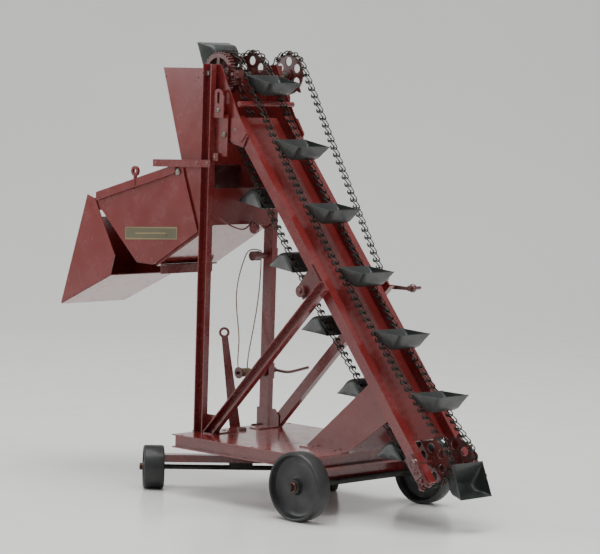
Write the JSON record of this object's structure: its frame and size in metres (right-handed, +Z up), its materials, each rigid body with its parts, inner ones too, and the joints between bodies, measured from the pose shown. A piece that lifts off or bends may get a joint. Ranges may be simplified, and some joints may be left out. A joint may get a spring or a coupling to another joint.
{
  "type": "grain loader",
  "caption": "Toy grain elevator: bucket chains climb a sloping boom over a head shaft to a hopper and chute, on a wheeled deck with a steering truck.",
  "frame": {"origin": "on the floor under the middle of the whole loader", "axes": "+X along the deck from the chute to the digging end of the boom, +Y across it towards the crank, +Z up"},
  "size_m": [0.5503, 0.2092, 0.4557],
  "materials": {
    "painted_red": "glossy baked enamel with worn edges",
    "bucket_steel": "semi-gloss dark enamel",
    "wheel_black": "satin black enamel",
    "bare_steel": "dull, lightly rusted",
    "chain_black": "blackened",
    "cord": "twisted string"
  },
  "bodies": {
    "chassis": {"deck_plate": "painted_red", "side_channels": "painted_red", "end_channels": "painted_red", "rear_axle_beam": "painted_red", "rear_axle": "bare_steel", "king_pin": "bare_steel", "posts": "painted_red", "post_feet": "painted_red", "braces": "painted_red", "hopper_shell": "painted_red", "hopper_floor": "painted_red", "hopper_rails": "painted_red", "boom_rails": "painted_red", "boom_floor": "painted_red", "boom_supports": "painted_red", "head_plates": "painted_red", "head_hangers": "painted_red", "head_bar": "painted_red", "shaft_brackets": "painted_red", "take_up_bearings": "painted_red", "chute_pins": "bare_steel", "floor_stiffener": "painted_red", "winch_mounts": "painted_red", "lift_cord": "cord", "bucket_chains": "chain_black", "drive_chain": "chain_black", "click_pawl": "painted_red"},
    "steering_truck": {"front_beam": "painted_red", "front_axle": "bare_steel"},
    "front_wheel_l": {"front_wheel_left": "wheel_black"},
    "front_wheel_r": {"front_wheel_right": "wheel_black"},
    "rear_wheel_l": {"rear_wheel_left": "wheel_black"},
    "rear_wheel_r": {"rear_wheel_right": "wheel_black"},
    "tow_bar": {"tow_bar": "painted_red"},
    "chute": {"chute_box": "painted_red", "chute_cover": "painted_red"},
    "end_spout": {"deflector": "painted_red"},
    "gate_crank": {"gate_crank": "painted_red"},
    "winch_drum": {"winch": "bare_steel"},
    "guide_roller": {"cord_roller": "painted_red"},
    "head_works": {"head_shaft": "bare_steel", "sprockets": "painted_red", "head_gear": "painted_red"},
    "foot_works": {"foot_shaft": "bare_steel", "foot_sprockets": "painted_red"},
    "crank": {"crank_shaft": "bare_steel"},
    "bucket_01": {"bucket_01": "bucket_steel"},
    "bucket_02": {"bucket_02": "bucket_steel"},
    "bucket_03": {"bucket_03": "bucket_steel"},
    "bucket_04": {"bucket_04": "bucket_steel"},
    "bucket_05": {"bucket_05": "bucket_steel"},
    "bucket_06": {"bucket_06": "bucket_steel"},
    "bucket_07": {"bucket_07": "bucket_steel"},
    "bucket_08": {"bucket_08": "bucket_steel"},
    "bucket_09": {"bucket_09": "bucket_steel"},
    "bucket_10": {"bucket_10": "bucket_steel"},
    "bucket_11": {"bucket_11": "bucket_steel"},
    "bucket_12": {"bucket_12": "bucket_steel"},
    "bucket_13": {"bucket_13": "bucket_steel"},
    "bucket_14": {"bucket_14": "bucket_steel"}
  },
  "joints": [
    {"name": "truck_steer", "type": "hinge", "parent": "chassis", "child": "steering_truck", "pos_m": [-0.0426, 0, 0.03], "axis": [0, 0, 1], "range_deg": [-3, 75]},
    {"name": "front_wheel_l_spin", "type": "hinge", "parent": "steering_truck", "child": "front_wheel_l", "pos_m": [-0.10013, -0.06856, 0.022], "axis": [0.6428, 0.766, 0], "continuous": true},
    {"name": "rear_wheel_l_spin", "type": "hinge", "parent": "chassis", "child": "rear_wheel_l", "pos_m": [0.1284, -0.09, 0.0335], "axis": [0, 1, 0], "continuous": true},
    {"name": "front_wheel_r_spin", "type": "hinge", "parent": "steering_truck", "child": "front_wheel_r", "pos_m": [0.01493, 0.06856, 0.022], "axis": [0.6428, 0.766, 0], "continuous": true},
    {"name": "rear_wheel_r_spin", "type": "hinge", "parent": "chassis", "child": "rear_wheel_r", "pos_m": [0.1284, 0.09, 0.0335], "axis": [0, 1, 0], "continuous": true},
    {"name": "tow_bar_hinge", "type": "hinge", "parent": "steering_truck", "child": "tow_bar", "pos_m": [-0.06711, 0.02057, 0.028], "axis": [-0.6428, -0.766, 0], "range_deg": [0, 97]},
    {"name": "chute_swing", "type": "hinge", "parent": "chassis", "child": "chute", "pos_m": [-0.0992, 0, 0.3236], "axis": [0, 1, 0], "range_deg": [0, 35]},
    {"name": "spout_swing", "type": "hinge", "parent": "chute", "child": "end_spout", "pos_m": [-0.2326, 0, 0.282], "axis": [0, 1, 0], "range_deg": [-8, 55]},
    {"name": "gate_crank_turn", "type": "hinge", "parent": "chassis", "child": "gate_crank", "pos_m": [-0.0421, 0, 0.268], "axis": [0, 1, 0], "range_deg": [-20, 90]},
    {"name": "winch_turn", "type": "hinge", "parent": "chassis", "child": "winch_drum", "pos_m": [-0.0566, 0.025, 0.118], "axis": [0, 1, 0], "continuous": true},
    {"name": "roller_turn", "type": "hinge", "parent": "chassis", "child": "guide_roller", "pos_m": [-0.0566, 0.031, 0.238], "axis": [0, 1, 0], "continuous": true},
    {"name": "crank_turn", "type": "hinge", "parent": "chassis", "child": "crank", "pos_m": [0.07687, 0.08, 0.21519], "axis": [0, -1, 0], "range_deg": [-280.11, 142.6]},
    {"name": "head_turn", "type": "hinge", "parent": "chassis", "child": "head_works", "pos_m": [-0.0586, 0, 0.4246], "axis": [0, -1, 0], "range_deg": [-118.4, 60.84]},
    {"name": "foot_turn", "type": "hinge", "parent": "chassis", "child": "foot_works", "pos_m": [0.2334, 0, 0.064], "axis": [0, -1, 0], "range_deg": [-118.4, 60.84]},
    {"name": "bucket_01_travel", "type": "slide", "parent": "chassis", "child": "bucket_01", "axis": [-0.5453, 0, 0.8382], "range_m": [-0.0445, 0.0229]},
    {"name": "bucket_02_travel", "type": "slide", "parent": "chassis", "child": "bucket_02", "axis": [-0.5777, 0, 0.8162], "range_m": [-0.0445, 0.0229]},
    {"name": "bucket_03_travel", "type": "slide", "parent": "chassis", "child": "bucket_03", "axis": [-0.6095, 0, 0.7928], "range_m": [-0.0445, 0.0229]},
    {"name": "bucket_04_travel", "type": "slide", "parent": "chassis", "child": "bucket_04", "axis": [-0.6403, 0, 0.7681], "range_m": [-0.0445, 0.0229]},
    {"name": "bucket_05_travel", "type": "slide", "parent": "chassis", "child": "bucket_05", "axis": [-0.6701, 0, 0.7423], "range_m": [-0.0445, 0.0229]},
    {"name": "bucket_06_travel", "type": "slide", "parent": "chassis", "child": "bucket_06", "axis": [-0.6987, 0, 0.7154], "range_m": [-0.0445, 0.0229]},
    {"name": "bucket_07_round", "type": "hinge", "parent": "chassis", "child": "bucket_07", "pos_m": [0.2334, 0, 0.064], "axis": [0, -1, 0], "range_deg": [-118.4, 60.84]},
    {"name": "bucket_08_travel", "type": "slide", "parent": "chassis", "child": "bucket_08", "axis": [0.7117, 0, -0.7024], "range_m": [-0.0445, 0.0229]},
    {"name": "bucket_09_travel", "type": "slide", "parent": "chassis", "child": "bucket_09", "axis": [0.6816, 0, -0.7317], "range_m": [-0.0445, 0.0229]},
    {"name": "bucket_10_travel", "type": "slide", "parent": "chassis", "child": "bucket_10", "axis": [0.6501, 0, -0.7598], "range_m": [-0.0445, 0.0229]},
    {"name": "bucket_11_travel", "type": "slide", "parent": "chassis", "child": "bucket_11", "axis": [0.6174, 0, -0.7866], "range_m": [-0.0445, 0.0229]},
    {"name": "bucket_12_travel", "type": "slide", "parent": "chassis", "child": "bucket_12", "axis": [0.5836, 0, -0.812], "range_m": [-0.0445, 0.0229]},
    {"name": "bucket_13_travel", "type": "slide", "parent": "chassis", "child": "bucket_13", "axis": [0.549, 0, -0.8358], "range_m": [-0.0445, 0.0229]},
    {"name": "bucket_14_round", "type": "hinge", "parent": "chassis", "child": "bucket_14", "pos_m": [-0.0586, 0, 0.4246], "axis": [0, -1, 0], "range_deg": [-118.4, 60.84]}
  ],
  "couplings": [
    {"joint": "head_turn", "follows": "crank_turn", "ratio": 0.41861},
    {"joint": "foot_turn", "follows": "crank_turn", "ratio": 0.41861},
    {"joint": "bucket_01_travel", "follows": "crank_turn", "m_per_rad": 0.009},
    {"joint": "bucket_02_travel", "follows": "crank_turn", "m_per_rad": 0.009},
    {"joint": "bucket_03_travel", "follows": "crank_turn", "m_per_rad": 0.009},
    {"joint": "bucket_04_travel", "follows": "crank_turn", "m_per_rad": 0.009},
    {"joint": "bucket_05_travel", "follows": "crank_turn", "m_per_rad": 0.009},
    {"joint": "bucket_06_travel", "follows": "crank_turn", "m_per_rad": 0.009},
    {"joint": "bucket_07_round", "follows": "crank_turn", "ratio": 0.41861},
    {"joint": "bucket_08_travel", "follows": "crank_turn", "m_per_rad": 0.009},
    {"joint": "bucket_09_travel", "follows": "crank_turn", "m_per_rad": 0.009},
    {"joint": "bucket_10_travel", "follows": "crank_turn", "m_per_rad": 0.009},
    {"joint": "bucket_11_travel", "follows": "crank_turn", "m_per_rad": 0.009},
    {"joint": "bucket_12_travel", "follows": "crank_turn", "m_per_rad": 0.009},
    {"joint": "bucket_13_travel", "follows": "crank_turn", "m_per_rad": 0.009},
    {"joint": "bucket_14_round", "follows": "crank_turn", "ratio": 0.41861}
  ]
}
